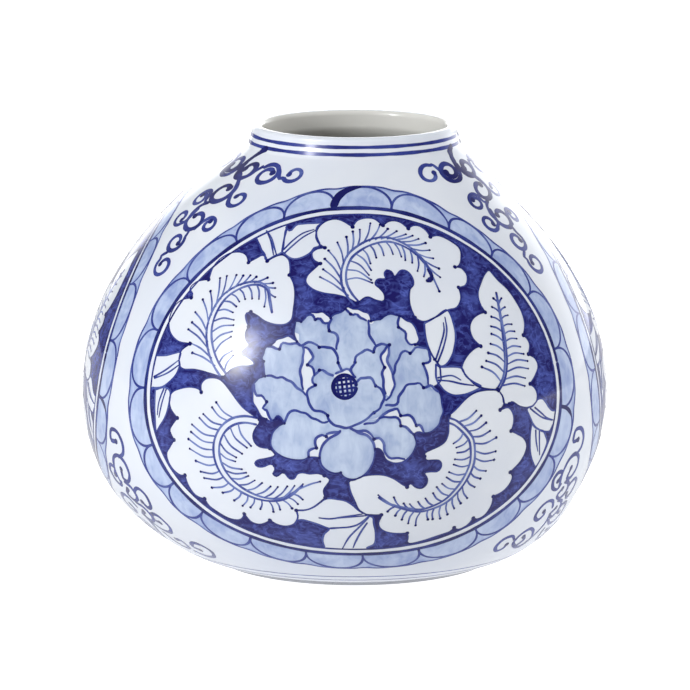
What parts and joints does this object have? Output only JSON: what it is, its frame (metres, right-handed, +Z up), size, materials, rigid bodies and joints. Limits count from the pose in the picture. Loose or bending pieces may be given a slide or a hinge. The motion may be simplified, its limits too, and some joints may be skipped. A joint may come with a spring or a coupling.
{
  "type": "vase",
  "caption": "Squat wide-shouldered porcelain vase with a short upright collar, a low unglazed foot ring and blue and white painted flower panels.",
  "frame": {"origin": "under the middle of the belly, on the plane that the foot ring stands on", "axes": "+Z up through the mouth; -Y towards the front painted panel; +X to the right of someone facing that panel"},
  "size_m": [0.25, 0.25, 0.208],
  "materials": {
    "white_glaze": "thick clear glossy glaze with a faint blue-grey cast over white porcelain",
    "cobalt_wash": "thin pale cobalt wash under the glaze, glossy",
    "cobalt_dark": "dense brushed cobalt under the glaze, mottled, glossy",
    "biscuit": "bare fired porcelain, dry and slightly warm in colour"
  },
  "bodies": {
    "root": {"foot_ring": "biscuit", "lower_bowl": "white_glaze", "upper_shoulder": "white_glaze", "mouth_collar": "white_glaze"}
  },
  "joints": []
}
